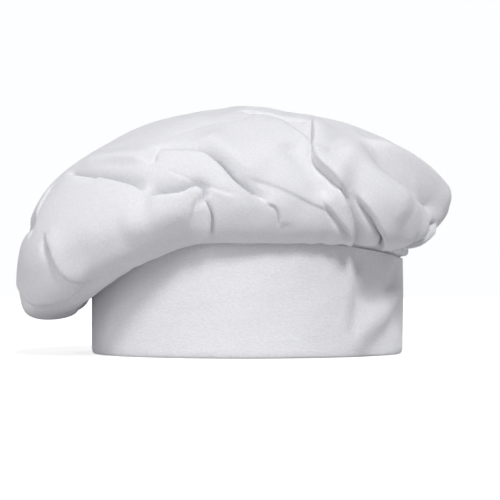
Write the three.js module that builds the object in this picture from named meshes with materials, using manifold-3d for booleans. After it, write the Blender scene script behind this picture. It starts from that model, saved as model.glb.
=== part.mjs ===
// Chef toque: a gathered cotton crown on a folded, stiffened headband that a hook-and-loop strap closes at the back.
// Millimetres, +Z up, the front of the hat towards -Y and its back towards +Y. The origin is the middle of the
// head opening, on the surface that the band stands on. Bearings are degrees from +X towards +Y.
import * as THREE from "three";
import { ParametricGeometry } from "three/addons/geometries/ParametricGeometry.js";
import { mergeVertices } from "three/addons/utils/BufferGeometryUtils.js";
import Module from "manifold-3d";

const wasm = await Module();
wasm.setup();

// ---- Driving dimensions ----
const CLEARANCE = 0.3; // left between pieces that touch
const HEAD_RADIUS = 92.9; // inside of the band: a head of 584 mm, size 58
const BAND_CLOTH = 0.8; // one layer of the band's cloth
const BAND_SLOT = 1.5; // space between the band's two layers
const BAND_HEIGHT = 66;
const BAND_RADIUS = HEAD_RADIUS + 2 * BAND_CLOTH + BAND_SLOT; // outer face of the band
const ROUND_STEPS = 96; // facets of every turned piece

const BACK = 90; // bearing of the closure
const BAND_GAP = 2; // degrees from the back to each end of the band
const SAG_SHARE = 0.12; // how much lower the band stands where the crown's bulge weighs on it
const SAG_BEARING = -10;
const SAG_NARROWNESS = 4;

const INTERFACING_CLOTH = 0.6;
const INTERFACING_TOP = 50;

const CROWN_CLOTH = 1.5;
const HEM_CLOTH = 0.8; // the crown's edge is pressed thinner inside the band
const HEM_BOTTOM = 54;
const CROWN_TOP = 153;
const CREST_RISE = 4.2; // the cloth stands this far over the band's edge before it turns out
const CREST_OUT = 2.8;

const SLIT_WIDTH = 6.6; // the cut in the crown above the band's gap
const SLIT_TOP = 90;
const BINDING_LAP = 0.6; // the binding stands this far proud of the crown's cloth, on both faces
const BINDING_WIDTH = 1.8;

const STRAP_BOTTOM = 6;
const STRAP_TOP = 54;
const STRAP_CLOTH = 2.4; // two layers, turned out and pressed
const STRAP_START = 77; // bearing where the strap's sewn end starts
const STRAP_FOLD = 88; // bearing of the fold that the flap turns on
const FLAP_END = 134;
const JOG_END = 94; // bearing where the flap has stepped out over the tapes

const TAPE = 1.2; // thickness of each half of the hook-and-loop tape
const TAPE_BOTTOM = 17;
const TAPE_TOP = 43;
const LOOP_SPAN = [96, 140];
const HOOK_SPAN = [101, 131];

const THREAD = 0.5;
const STITCH_INSET = 2.5; // from a piece's edge to its row of stitches

const LABEL_WIDTH = 30;
const LABEL_CLOTH = 0.6;
const LABEL_BOTTOM = 26;
const LABEL_TOP = 60;
const LABEL_BEARING = 118;
const LABEL_DISTANCE = 90.6; // from the axis to the label's middle

// The crown's shape, every 45 degrees from +X: [radius, height] of its lowest fold, its widest point,
// its shoulder and the slope above that. The crown flops over the band towards -X.
const CROWN_STATIONS = [
  { low: [100, 68], belly: [124, 95], shoulder: [109, 117], slope: [58, 141] },
  { low: [102, 71], belly: [122, 95], shoulder: [105, 119], slope: [60, 140] },
  { low: [104, 73], belly: [121, 94], shoulder: [103, 119], slope: [60, 140] },
  { low: [107, 66], belly: [128, 84], shoulder: [112, 112], slope: [66, 137] },
  { low: [114, 25], belly: [139, 50], shoulder: [127, 96], slope: [82, 131] },
  { low: [112, 43], belly: [132, 65], shoulder: [118, 102], slope: [73, 134] },
  { low: [105, 66], belly: [117, 84], shoulder: [105, 114], slope: [60, 140] },
  { low: [102, 68], belly: [120, 92], shoulder: [106, 117], slope: [60, 141] },
];
const GATHERS = 28;
const GATHER_DEPTH = 1.6; // each way, at the lowest fold; it fades out at the shoulder
const CROWN_SLICES = 4 * GATHERS;
const CROWN_RINGS = 17; // on each face of the cloth: two to each stretch of the line, and one for the cut edge

// ---- Materials ----
function fabric(name, color, roughness) {
  return new THREE.MeshStandardMaterial({ name, color, roughness, metalness: 0 });
}

const COTTON = fabric("white_cotton", 0xf2f2f5, 0.9);
const STIFFENER = fabric("interfacing", 0xe9e9e4, 0.95);
const TAPE_NYLON = fabric("tape_nylon", 0xf4f4f2, 0.7);
const THREAD_COTTON = fabric("thread", 0xf6f6f6, 0.6);
const LABEL_SATIN = fabric("label_satin", 0xfafafa, 0.45);

// ---- Solids ----
function solidOf(geometry) {
  const bare = geometry.index ? geometry.toNonIndexed() : geometry.clone();
  bare.deleteAttribute("normal");
  bare.deleteAttribute("uv");
  const merged = mergeVertices(bare, 1e-4);
  const vertProperties = new Float32Array(merged.attributes.position.array);
  const triVerts = new Uint32Array(merged.index.array);
  return new wasm.Manifold(new wasm.Mesh({ numProp: 3, vertProperties, triVerts }));
}

function geometryOf(solid) {
  const { vertProperties, triVerts } = solid.getMesh();
  return new THREE.BufferGeometry()
    .setAttribute("position", new THREE.BufferAttribute(vertProperties, 3))
    .setIndex(new THREE.BufferAttribute(triVerts, 1));
}

function radians(degrees) {
  return THREE.MathUtils.degToRad(degrees);
}

// A closed outline of [radius, height] points, turned round the hat's axis.
function turned(outline) {
  const points = [...outline, outline[0]].map(([r, z]) => new THREE.Vector2(r, z));
  return solidOf(new THREE.LatheGeometry(points, ROUND_STEPS).rotateX(Math.PI / 2));
}

function rectangle(inner, outer, bottom, top) {
  return [
    [outer, bottom],
    [outer, top],
    [inner, top],
    [inner, bottom],
  ];
}

// The space between two bearings less than 180 degrees apart.
function wedge(from, to) {
  const far = 400;
  const outline = [new THREE.Vector2(0, 0)];
  for (const bearing of [from, (from + to) / 2, to]) {
    outline.push(new THREE.Vector2(Math.cos(radians(bearing)), Math.sin(radians(bearing))).multiplyScalar(far));
  }
  const height = 300;
  const space = new THREE.ExtrudeGeometry(new THREE.Shape(outline), { depth: height, bevelEnabled: false });
  return solidOf(space.translate(0, 0, -height / 4));
}

function block(size, centre) {
  return solidOf(new THREE.BoxGeometry(...size).translate(...centre));
}

// How far up the band's height a point is carried, as a share: under 1 where the crown weighs the band down.
function sagAt(bearing) {
  const towards = Math.max(0, Math.cos(radians(bearing - SAG_BEARING)));
  return 1 - SAG_SHARE * towards ** SAG_NARROWNESS;
}

function sagged(solid) {
  return solid.warp((vertex) => {
    vertex[2] *= sagAt(THREE.MathUtils.radToDeg(Math.atan2(vertex[1], vertex[0])));
  });
}

function withoutBack(solid) {
  return solid.subtract(wedge(BACK - BAND_GAP, BACK + BAND_GAP));
}

// ---- Headband ----
function headband() {
  const inner = HEAD_RADIUS;
  const outer = BAND_RADIUS;
  const corner = BAND_CLOTH * (1 - Math.SQRT1_2); // a point half way round each bottom corner
  const folded = [
    [outer - BAND_CLOTH, 0],
    [outer - corner, corner],
    [outer, BAND_CLOTH],
    [outer, BAND_HEIGHT],
    [outer - BAND_CLOTH, BAND_HEIGHT],
    [outer - BAND_CLOTH, BAND_CLOTH],
    [inner + BAND_CLOTH, BAND_CLOTH],
    [inner + BAND_CLOTH, BAND_HEIGHT],
    [inner, BAND_HEIGHT],
    [inner, BAND_CLOTH],
    [inner + corner, corner],
    [inner + BAND_CLOTH, 0],
  ];
  return sagged(withoutBack(turned(folded)));
}

function interfacing() {
  const middle = (HEAD_RADIUS + BAND_RADIUS) / 2;
  const half = INTERFACING_CLOTH / 2;
  const strip = rectangle(middle - half, middle + half, BAND_CLOTH + CLEARANCE, INTERFACING_TOP);
  return sagged(turned(strip).subtract(wedge(BACK - 2 * BAND_GAP, BACK + 2 * BAND_GAP)));
}

// ---- Crown ----
const stationCurves = Object.fromEntries(
  ["low", "belly", "shoulder", "slope"].map((name) => {
    const places = CROWN_STATIONS.map((station) => new THREE.Vector3(...station[name], 0));
    return [name, new THREE.CatmullRomCurve3(places, true, "catmullrom")];
  }),
);

// The crown's line from the edge inside the band up to the top, as [radius, height], at one bearing.
function crownLine(bearing) {
  const around = bearing / 360;
  const sag = sagAt(bearing);
  const gather = GATHER_DEPTH * Math.cos(radians(GATHERS * bearing));
  const slot = HEAD_RADIUS + BAND_CLOTH + BAND_SLOT / 2;
  const edge = BAND_HEIGHT * sag;
  const points = [
    new THREE.Vector3(slot, HEM_BOTTOM * sag, 0),
    new THREE.Vector3(slot, edge, 0),
    new THREE.Vector3(slot, edge + CREST_RISE / 2, 0),
    new THREE.Vector3(slot + CREST_OUT, edge + CREST_RISE, 0),
    stationCurves.low.getPoint(around).add(new THREE.Vector3(gather, 0, 0)),
    stationCurves.belly.getPoint(around).add(new THREE.Vector3(gather / 2, 0, 0)),
    stationCurves.shoulder.getPoint(around),
    stationCurves.slope.getPoint(around),
    new THREE.Vector3(0, CROWN_TOP, 0),
  ];
  return new THREE.CatmullRomCurve3(points, false, "centripetal");
}

// Both faces of the cloth as one closed surface: down the inside from the top to the edge, and back up the outside.
function crownShell(extra) {
  const lines = Array.from({ length: CROWN_SLICES }, (_, i) => crownLine((360 * i) / CROWN_SLICES));
  function place(u, v, target) {
    const slice = Math.round(u * CROWN_SLICES) % CROWN_SLICES;
    const ring = Math.abs(Math.round((1 - 2 * v) * CROWN_RINGS)); // 0 runs along the middle of the cloth's cut edge
    const along = Math.max(0, ring - 1) / (CROWN_RINGS - 1);
    const point = lines[slice].getPoint(along);
    const tangent = ring === CROWN_RINGS ? new THREE.Vector3(-1, 0, 0) : lines[slice].getTangent(along);
    const inBand = THREE.MathUtils.smoothstep(along, 0.25, 0.4);
    const thickness = THREE.MathUtils.lerp(HEM_CLOTH, CROWN_CLOTH, inBand) + 2 * extra;
    const shift = ring === 0 ? 0 : (Math.sign(v - 0.5) * thickness) / 2;
    const radius = ring === CROWN_RINGS ? 0 : point.x + shift * tangent.y;
    const angle = (2 * Math.PI * slice) / CROWN_SLICES;
    target.set(radius * Math.cos(angle), radius * Math.sin(angle), point.y - shift * tangent.x);
  }
  return solidOf(new ParametricGeometry(place, CROWN_SLICES, 2 * CROWN_RINGS));
}

function backBlock(width, bottom, top) {
  const deep = 60;
  return block([width, deep, top - bottom], [0, BAND_RADIUS + deep / 4, (top + bottom) / 2]);
}

function crown() {
  return crownShell(0).subtract(backBlock(SLIT_WIDTH, HEM_BOTTOM - 10, SLIT_TOP));
}

// Tape folded over the slit's two edges and across its top.
function slitBinding() {
  const width = SLIT_WIDTH - 2 * CLEARANCE;
  const outside = backBlock(width, HEM_BOTTOM, SLIT_TOP - CLEARANCE);
  const inside = backBlock(width - 2 * BINDING_WIDTH, HEM_BOTTOM - 10, SLIT_TOP - CLEARANCE - BINDING_WIDTH);
  return crownShell(BINDING_LAP).intersect(outside).subtract(inside);
}

// A short bar of close stitches that stops the slit from tearing further up.
function slitBarTack() {
  const [width, thick, tall] = [9, 1, 2];
  const rise = 3;
  const line = crownLine(BACK);
  const spot = line.getPoints(400).find((point) => point.x > BAND_RADIUS && point.y > SLIT_TOP + rise);
  const y = spot.x + CROWN_CLOTH / 2 + CLEARANCE + thick / 2;
  return block([width, thick, tall], [0, y, spot.y]);
}

// ---- Closure ----
const tapeInner = BAND_RADIUS + CLEARANCE;
const hookInner = tapeInner + TAPE + CLEARANCE;
const flapInner = hookInner + TAPE + CLEARANCE;

function sector(inner, outer, bottom, top, [from, to]) {
  return turned(rectangle(inner, outer, bottom, top)).intersect(wedge(from, to));
}

function strapEnd() {
  const inner = BAND_RADIUS + CLEARANCE;
  return sector(inner, inner + STRAP_CLOTH, STRAP_BOTTOM, STRAP_TOP, [STRAP_START, STRAP_FOLD - CLEARANCE]);
}

// The free part of the strap: it steps out from the band over both tapes, then follows them.
function closureFlap() {
  const steps = 24;
  const outline = [];
  const start = BAND_RADIUS + CLEARANCE;
  function edge(offset, i) {
    const bearing = THREE.MathUtils.lerp(STRAP_FOLD + CLEARANCE, FLAP_END, (i / steps) ** 1.5);
    const out = THREE.MathUtils.smoothstep(bearing, STRAP_FOLD, JOG_END);
    const radius = THREE.MathUtils.lerp(start, flapInner, out) + offset;
    return new THREE.Vector2(Math.cos(radians(bearing)), Math.sin(radians(bearing))).multiplyScalar(radius);
  }
  for (let i = 0; i <= steps; i++) outline.push(edge(0, i));
  for (let i = steps; i >= 0; i--) outline.push(edge(STRAP_CLOTH, i));
  const depth = STRAP_TOP - STRAP_BOTTOM;
  const flap = new THREE.ExtrudeGeometry(new THREE.Shape(outline), { depth, bevelEnabled: false });
  return solidOf(flap.translate(0, 0, STRAP_BOTTOM));
}

function loopTape() {
  return sector(tapeInner, tapeInner + TAPE, TAPE_BOTTOM, TAPE_TOP, LOOP_SPAN);
}

function hookTape() {
  return sector(hookInner, hookInner + TAPE, TAPE_BOTTOM, TAPE_TOP, HOOK_SPAN);
}

// A row of stitches round the edge of a piece whose outer face has the given radius.
function stitching(face, bottom, top, [from, to]) {
  const inner = face + CLEARANCE;
  const degrees = THREE.MathUtils.radToDeg(STITCH_INSET / face);
  const thread = THREE.MathUtils.radToDeg(THREAD / face);
  const [low, high] = [bottom + STITCH_INSET, top - STITCH_INSET];
  const [start, end] = [from + degrees, to - degrees];
  const whole = sector(inner, inner + THREAD, low, high, [start, end]);
  const middle = sector(inner - 1, inner + 2, low + THREAD, high - THREAD, [start + thread, end - thread]);
  return whole.subtract(middle);
}

// The seam that joins the crown to the band shows only on the band's inner face.
function seamStitching() {
  const outer = HEAD_RADIUS - CLEARANCE;
  const height = BAND_HEIGHT - STITCH_INSET;
  return sagged(withoutBack(turned(rectangle(outer - THREAD, outer, height - THREAD, height))));
}

// ---- Care label: a blank satin label, sewn in by its top edge ----
function labelPlate(height, thickness, distance, middle) {
  const plate = new THREE.BoxGeometry(thickness, LABEL_WIDTH, height).translate(distance, 0, middle);
  return solidOf(plate.rotateZ(radians(LABEL_BEARING)));
}

function careLabel() {
  return labelPlate(LABEL_TOP - LABEL_BOTTOM, LABEL_CLOTH, LABEL_DISTANCE, (LABEL_TOP + LABEL_BOTTOM) / 2);
}

function labelStitching() {
  return labelPlate(THREAD, THREAD, LABEL_DISTANCE, LABEL_TOP + CLEARANCE + THREAD / 2);
}

// ---- Assembly ----
const toque = new THREE.Group();
toque.name = "chef_toque";

function add(name, solid, material) {
  const mesh = new THREE.Mesh(geometryOf(solid), material);
  mesh.name = name;
  toque.add(mesh);
}

add("headband", headband(), COTTON);
add("interfacing", interfacing(), STIFFENER);
add("crown", crown(), COTTON);
add("slit_binding", slitBinding(), COTTON);
add("slit_bar_tack", slitBarTack(), THREAD_COTTON);
add("seam_stitching", seamStitching(), THREAD_COTTON);
add("strap_end", strapEnd(), COTTON);
const strapFace = BAND_RADIUS + CLEARANCE + STRAP_CLOTH;
add(
  "strap_end_stitching",
  stitching(strapFace, STRAP_BOTTOM, STRAP_TOP, [STRAP_START, STRAP_FOLD]),
  THREAD_COTTON,
);
add("loop_tape", loopTape(), TAPE_NYLON);
add("closure_flap", closureFlap(), COTTON);
add("hook_tape", hookTape(), TAPE_NYLON);
const flapFace = flapInner + STRAP_CLOTH;
add(
  "flap_edge_stitching",
  stitching(flapFace, STRAP_BOTTOM, STRAP_TOP, [JOG_END, FLAP_END]),
  THREAD_COTTON,
);
add("hook_tape_stitching", stitching(flapFace, TAPE_BOTTOM, TAPE_TOP, HOOK_SPAN), THREAD_COTTON);
add("care_label", careLabel(), LABEL_SATIN);
add("label_stitching", labelStitching(), THREAD_COTTON);

export default toque;
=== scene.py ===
"""Looks of a chef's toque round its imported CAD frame: a gathered cotton crown, a folded headband and a strap.

Sizes are in millimetres until a mesh is made, with +Z up, -Y the front and the origin in the middle of the
head opening. Bearings are in degrees from +X towards +Y.
"""

import math

import bmesh
import bpy
import numpy as np
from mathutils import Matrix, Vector
from mathutils.bvhtree import BVHTree


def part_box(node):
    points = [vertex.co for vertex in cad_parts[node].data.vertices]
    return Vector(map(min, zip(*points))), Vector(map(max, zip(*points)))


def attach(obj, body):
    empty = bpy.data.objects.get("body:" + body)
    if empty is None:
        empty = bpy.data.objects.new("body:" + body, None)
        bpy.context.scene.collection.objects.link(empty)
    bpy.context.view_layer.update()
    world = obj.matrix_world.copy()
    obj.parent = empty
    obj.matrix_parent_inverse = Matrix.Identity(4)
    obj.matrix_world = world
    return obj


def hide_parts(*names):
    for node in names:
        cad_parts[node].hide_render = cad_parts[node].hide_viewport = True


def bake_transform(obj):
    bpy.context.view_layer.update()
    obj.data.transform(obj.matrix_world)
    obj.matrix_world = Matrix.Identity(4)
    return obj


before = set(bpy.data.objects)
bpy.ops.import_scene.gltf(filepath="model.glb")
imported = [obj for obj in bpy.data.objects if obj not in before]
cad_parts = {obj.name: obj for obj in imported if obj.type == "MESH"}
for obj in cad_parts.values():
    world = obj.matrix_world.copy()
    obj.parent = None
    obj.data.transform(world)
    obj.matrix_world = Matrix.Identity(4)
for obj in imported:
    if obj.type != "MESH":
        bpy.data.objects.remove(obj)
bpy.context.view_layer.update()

MM = 0.001
BAND_RADIUS, _, BAND_HEIGHT = (np.array(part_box("headband")[1]) / MM).tolist()
BAND_LAYER = 0.8  # thickness of one of the band's two sides
SLOT_RADIUS = BAND_RADIUS - BAND_LAYER - 0.75  # middle of the room between them
BACK = 90.0

# ---- The camera and the room ----
EYE = np.array([2.0, -1000.0, 35.0])
LOOK_AT = np.array([2.0, 0.0, 63.5])
FRAME_WIDTH = 310.0  # what the camera takes in across the plane y = 0
# Each distant light's name, the direction from the hat towards it, its strength and its spread in degrees.
SUNS = [
    ("key", (0.22, -0.66, 0.82), 2.07, 14),
    ("fill", (-0.8, -0.75, 0.56), 1.05, 40),
    ("back", (0.5, 0.8, 0.22), 0.7, 40),
]
AMBIENT = 0.17  # how strongly the white room lights the hat; the camera sees it at 1
ROOM_COLOR = (0.985, 0.99, 1.0, 1)
PAPER_COLOR = (0.6, 0.6, 0.6)
PAPER_ROUGHNESS = 0.9
PAPER_HALF = 30000.0
PAPER_LIFT = 0.7  # how much light the paper adds where the camera looks at it, so that it shows white
PAPER_BELOW = 0.3  # how far it lies below the plane that the hat stands on
SHADE_RADIUS = 91.0  # of the plain paper inside the band, which shows as dark as it is
SHADE_BELOW = 0.2


def set_camera():
    data = bpy.data.cameras.new("camera")
    data.sensor_width = 36.0
    data.lens = data.sensor_width * -EYE[1] / FRAME_WIDTH
    data.clip_start = 0.01
    camera = bpy.data.objects.new("camera", data)
    bpy.context.collection.objects.link(camera)
    camera.location = Vector(EYE * MM)
    direction = Vector(LOOK_AT - EYE)
    camera.rotation_euler = direction.to_track_quat("-Z", "Y").to_euler()
    bpy.context.scene.camera = camera


def sun(name, towards, strength, spread):
    """A distant soft light that shines from the direction towards, which is a vector from the hat."""
    data = bpy.data.lights.new(name, "SUN")
    data.energy = strength
    data.angle = math.radians(spread)
    light = bpy.data.objects.new(name, data)
    bpy.context.collection.objects.link(light)
    light.rotation_euler = Vector(towards).to_track_quat("Z", "Y").to_euler()


def camera_sight(nodes):
    """1 for what the camera sees directly, and 0 for light that goes round the room."""
    return nodes.new("ShaderNodeLightPath").outputs["Is Camera Ray"]


def set_world():
    world = bpy.data.worlds.new("studio")
    bpy.context.scene.world = world
    world.use_nodes = True
    nodes, links = world.node_tree.nodes, world.node_tree.links
    strength = nodes.new("ShaderNodeMix")
    strength.data_type = "FLOAT"
    strength.inputs["A"].default_value = AMBIENT
    strength.inputs["B"].default_value = 1.0
    links.new(camera_sight(nodes), strength.inputs["Factor"])
    links.new(strength.outputs["Result"], nodes["Background"].inputs["Strength"])
    nodes["Background"].inputs["Color"].default_value = ROOM_COLOR


def paper_material():
    """White paper that looks lighter than the light on it makes it."""
    paper = plain_material("floor_paper", PAPER_COLOR, PAPER_ROUGHNESS)
    nodes, links = paper.node_tree.nodes, paper.node_tree.links
    shader = nodes["Principled BSDF"]
    lift = nodes.new("ShaderNodeMath")
    lift.operation = "MULTIPLY"
    lift.inputs[1].default_value = PAPER_LIFT
    links.new(camera_sight(nodes), lift.inputs[0])
    links.new(lift.outputs[0], shader.inputs["Emission Strength"])
    shader.inputs["Emission Color"].default_value = (1, 1, 1, 1)
    return paper


def lay_paper(name, corners, below, material):
    mesh = bpy.data.meshes.new(name)
    mesh.from_pydata((np.array(corners) * MM).tolist(), [], [tuple(range(len(corners)))])
    mesh.materials.append(material)
    paper = bpy.data.objects.new(name, mesh)
    paper.location.z = -below * MM
    bpy.context.collection.objects.link(paper)


def set_room():
    """White paper, a soft key light from the upper right, a wide fill from the left, a weak light behind."""
    bpy.context.scene.view_settings.view_transform = "Standard"
    set_world()
    for light in SUNS:
        sun(*light)
    sides = [(x * PAPER_HALF, y * PAPER_HALF, 0) for x, y in ((-1, -1), (1, -1), (1, 1), (-1, 1))]
    lay_paper("floor", sides, PAPER_BELOW, paper_material())
    ring = on_circle(SHADE_RADIUS, np.linspace(0, 360, 64, endpoint=False), 0.0)
    lay_paper("floor_inside", ring, SHADE_BELOW, plain_material("floor_shade", PAPER_COLOR, PAPER_ROUGHNESS))


def plain_material(name, color, roughness):
    material = bpy.data.materials.new(name)
    material.use_nodes = True
    shader = material.node_tree.nodes["Principled BSDF"]
    shader.inputs["Base Color"].default_value = (*color, 1)
    shader.inputs["Roughness"].default_value = roughness
    return material


# ---- Materials ----
class Surface:
    """A procedural material, whose patterns lie on the cloth laid flat, in metres along its weft and warp."""

    def __init__(self, name, color, roughness, sheen=0.0):
        self.material = plain_material(name, color, roughness)
        self.nodes, self.links = self.material.node_tree.nodes, self.material.node_tree.links
        self.shader = self.nodes["Principled BSDF"]
        self.shader.inputs["Sheen Weight"].default_value = sheen
        self.normal = None

    def stretched(self, scale):
        place = self.nodes.new("ShaderNodeTexCoord")
        mapping = self.nodes.new("ShaderNodeMapping")
        mapping.inputs["Scale"].default_value = (*scale, 1)
        self.links.new(place.outputs["UV"], mapping.inputs["Vector"])
        return mapping.outputs["Vector"]

    def noise(self, scale, detail):
        texture = self.nodes.new("ShaderNodeTexNoise")
        texture.inputs["Scale"].default_value = 1.0
        texture.inputs["Detail"].default_value = detail
        self.links.new(self.stretched(scale), texture.inputs["Vector"])
        return texture.outputs["Fac"]

    def threads(self, count, direction):
        """Ridges across a direction, so many to a metre."""
        wave = self.nodes.new("ShaderNodeTexWave")
        wave.bands_direction = direction
        wave.inputs["Scale"].default_value = math.pi / 10  # makes one ridge to a unit
        wave.inputs["Distortion"].default_value = 0.35
        self.links.new(self.stretched((count, count)), wave.inputs["Vector"])
        return wave.outputs["Fac"]

    def product(self, first, second):
        node = self.nodes.new("ShaderNodeMath")
        node.operation = "MULTIPLY"
        self.links.new(first, node.inputs[0])
        self.links.new(second, node.inputs[1])
        return node.outputs[0]

    def raise_by(self, height, depth, strength):
        """Adds bumps of a depth in millimetres to those that the surface has."""
        node = self.nodes.new("ShaderNodeBump")
        node.inputs["Distance"].default_value = depth * MM
        node.inputs["Strength"].default_value = strength
        self.links.new(height, node.inputs["Height"])
        if self.normal:
            self.links.new(self.normal, node.inputs["Normal"])
        self.normal = node.outputs["Normal"]

    def color_by(self, factor, deep, pale):
        mix = self.nodes.new("ShaderNodeMix")
        mix.data_type = "RGBA"
        mix.inputs["A"].default_value = (*deep, 1)
        mix.inputs["B"].default_value = (*pale, 1)
        self.links.new(factor, mix.inputs["Factor"])
        self.links.new(mix.outputs["Result"], self.shader.inputs["Base Color"])

    def finished(self):
        self.links.new(self.normal, self.shader.inputs["Normal"])
        return self.material


THREADS = 1900  # threads to a metre of cloth, each way


def cotton_material():
    """Plain-woven polycotton: fine threads both ways, thicker slubs here and there and a faint mottle."""
    cotton = Surface("white_cotton", (0.8, 0.8, 0.83), 0.85, sheen=0.12)
    cotton.color_by(cotton.noise((500, 800), detail=5), deep=(0.70, 0.70, 0.74), pale=(0.885, 0.885, 0.91))
    weave = cotton.product(cotton.threads(THREADS, "X"), cotton.threads(THREADS, "Y"))
    cotton.raise_by(weave, depth=0.09, strength=0.5)
    for slubs in ((650, 1300), (1400, 700)):
        cotton.raise_by(cotton.noise(slubs, detail=3), depth=0.32, strength=0.6)
    crumple = cotton.noise((70, 90), detail=3)
    cotton.raise_by(crumple, depth=1.3, strength=0.35)
    cotton.shader.inputs["Sheen Roughness"].default_value = 0.6
    cotton.shader.inputs["Specular IOR Level"].default_value = 0.25
    return cotton.finished()


def thread_material():
    thread = Surface("thread", (0.84, 0.84, 0.86), 0.55, sheen=0.2)
    twist = thread.threads(2500, "DIAGONAL")
    thread.raise_by(twist, depth=0.05, strength=0.6)
    thread.color_by(twist, deep=(0.76, 0.76, 0.79), pale=(0.88, 0.88, 0.9))
    return thread.finished()


def nylon_material():
    nylon = Surface("tape_nylon", (0.8, 0.8, 0.8), 0.5)
    nylon.raise_by(nylon.threads(1100, "Y"), depth=0.1, strength=0.6)
    fibres = nylon.noise((2600, 900), detail=4)
    nylon.raise_by(fibres, depth=0.15, strength=0.5)
    nylon.color_by(fibres, deep=(0.72, 0.72, 0.72), pale=(0.86, 0.86, 0.85))
    return nylon.finished()


def satin_material():
    satin = Surface("label_satin", (0.86, 0.86, 0.87), 0.32, sheen=0.3)
    satin.raise_by(satin.threads(2200, "Y"), depth=0.03, strength=0.4)
    streaks = satin.noise((300, 3000), detail=3)
    satin.raise_by(streaks, depth=0.06, strength=0.4)
    satin.color_by(streaks, deep=(0.8, 0.8, 0.82), pale=(0.9, 0.9, 0.91))
    return satin.finished()


def interfacing_material():
    felt = Surface("interfacing", (0.74, 0.74, 0.7), 0.95)
    fibres = felt.noise((900, 900), detail=8)
    felt.color_by(fibres, deep=(0.62, 0.62, 0.58), pale=(0.84, 0.84, 0.8))
    felt.raise_by(fibres, depth=0.3, strength=0.7)
    return felt.finished()


# ---- Small tools for surfaces held as arrays of points ----
def smoothstep(low, high, x):
    t = np.clip((x - low) / (high - low), 0, 1)
    return t * t * (3 - 2 * t)


def unit(v):
    return v / np.maximum(np.linalg.norm(v, axis=-1, keepdims=True), 1e-12)


def point_normals(points, quads):
    a, b, c, d = (points[quads[:, i]] for i in range(4))
    face = np.cross(c - a, d - b)
    normals = np.zeros_like(points)
    for i in range(4):
        np.add.at(normals, quads[:, i], face)
    return unit(normals)


def hermite(t, step, start, end, start_slope, end_slope):
    """A smooth curve's value at a share t of a step, from the values and slopes at the step's ends."""
    return (
        (1 + 2 * t) * (1 - t) ** 2 * start
        + t * (1 - t) ** 2 * step * start_slope
        + t * t * (3 - 2 * t) * end
        - t * t * (1 - t) * step * end_slope
    )


def around(bearings, stations, values):
    """Values given at stations round a circle, one row to each, carried smoothly to every bearing."""
    s = np.concatenate([stations[-2:] - 360, stations, stations[:2] + 360])
    v = np.concatenate([values[-2:], values, values[:2]])
    shape = (-1, *[1] * (v.ndim - 1))
    slope = (v[2:] - v[:-2]) / (s[2:] - s[:-2]).reshape(shape)
    s, v = s[1:-1], v[1:-1]
    b = np.mod(bearings, 360)
    i = np.clip(np.searchsorted(s, b, side="right") - 1, 0, len(s) - 2)
    step = (s[i + 1] - s[i]).reshape(shape)
    t = ((b - s[i]) / (s[i + 1] - s[i])).reshape(shape)
    return hermite(t, step, v[i], v[i + 1], slope[i], slope[i + 1])


def along(lines, share):
    """The point at a share of the length of each row's own line, on a curve through the line's corners."""
    across = np.diff(lines, axis=1)
    steps = np.linalg.norm(across, axis=2)
    reach = np.concatenate([np.zeros((len(lines), 1)), np.cumsum(steps, axis=1)], axis=1)
    target = share * reach[:, -1]
    i = np.clip((reach <= target[:, None]).sum(1) - 1, 0, lines.shape[1] - 2)
    row = np.arange(len(lines))
    slope = np.zeros_like(lines)
    before, after = steps[:, :-1, None], steps[:, 1:, None]
    slope[:, 1:-1] = (across[:, :-1] / before * after + across[:, 1:] / after * before) / (before + after)
    slope[:, 0] = across[:, 0] / steps[:, 0, None]
    slope[:, -1] = across[:, -1] / steps[:, -1, None]
    step = steps[row, i][:, None]
    t = ((target - reach[row, i]) / steps[row, i])[:, None]
    return hermite(t, step, lines[row, i], lines[row, i + 1], slope[row, i], slope[row, i + 1])


def lengths_along(points):
    """How far along a line each of its points is."""
    return np.concatenate([[0], np.cumsum(np.linalg.norm(np.diff(points, axis=0), axis=1))])


def grid_of(rows, columns):
    return np.meshgrid(rows, columns, indexing="ij")


def grid_quads(rows, columns, closed=False):
    """The faces of a grid of points, row after row; closed joins its last column to its first."""
    index = np.arange(rows * columns).reshape(rows, columns)
    if closed:
        index = np.concatenate([index, index[:, :1]], axis=1)
    corners = [index[:-1, :-1], index[:-1, 1:], index[1:, 1:], index[1:, :-1]]
    return np.stack(corners, axis=-1).reshape(-1, 4)


def repeated(quads, size, count):
    """The faces of one small part with so many points, for many such parts one after another."""
    return np.concatenate([quads + size * i for i in range(count)])


def smooth_mesh(name, points, quads, flat=None):
    """A mesh of points; flat gives each point's place on the cloth laid flat, for its weave."""
    mesh = bpy.data.meshes.new(name)
    mesh.from_pydata((points * MM).tolist(), [], quads.tolist())
    mesh.polygons.foreach_set("use_smooth", [True] * len(mesh.polygons))
    if flat is not None:
        corners = np.empty(len(mesh.loops), int)
        mesh.loops.foreach_get("vertex_index", corners)
        mesh.uv_layers.new(name="cloth").data.foreach_set("uv", (flat[corners] * MM).ravel())
    return mesh


def grid_mesh(name, points, flat):
    """A mesh of a whole grid of points, and of their places on the cloth laid flat."""
    rows, columns = points.shape[:2]
    return smooth_mesh(name, points.reshape(-1, 3), grid_quads(rows, columns), flat.reshape(-1, 2))


def piece_of(mesh, material, body, replaced):
    """An object of the mesh that rides on a body, or on none, and stands for CAD nodes."""
    piece = bpy.data.objects.new(mesh.name, mesh)
    bpy.context.collection.objects.link(piece)
    mesh.materials.append(material)
    if body:
        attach(piece, body)
    if replaced:
        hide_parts(*replaced)
    return piece


def thicken(piece, thickness):
    solid = piece.modifiers.new("thickness", "SOLIDIFY")
    solid.thickness = thickness * MM
    solid.offset = 0


def on_circle(radius, bearing, height):
    angle = np.radians(bearing)
    radius, angle, height = np.broadcast_arrays(radius, angle, height)
    return np.stack([radius * np.cos(angle), radius * np.sin(angle), height], axis=-1).astype(float)


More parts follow.
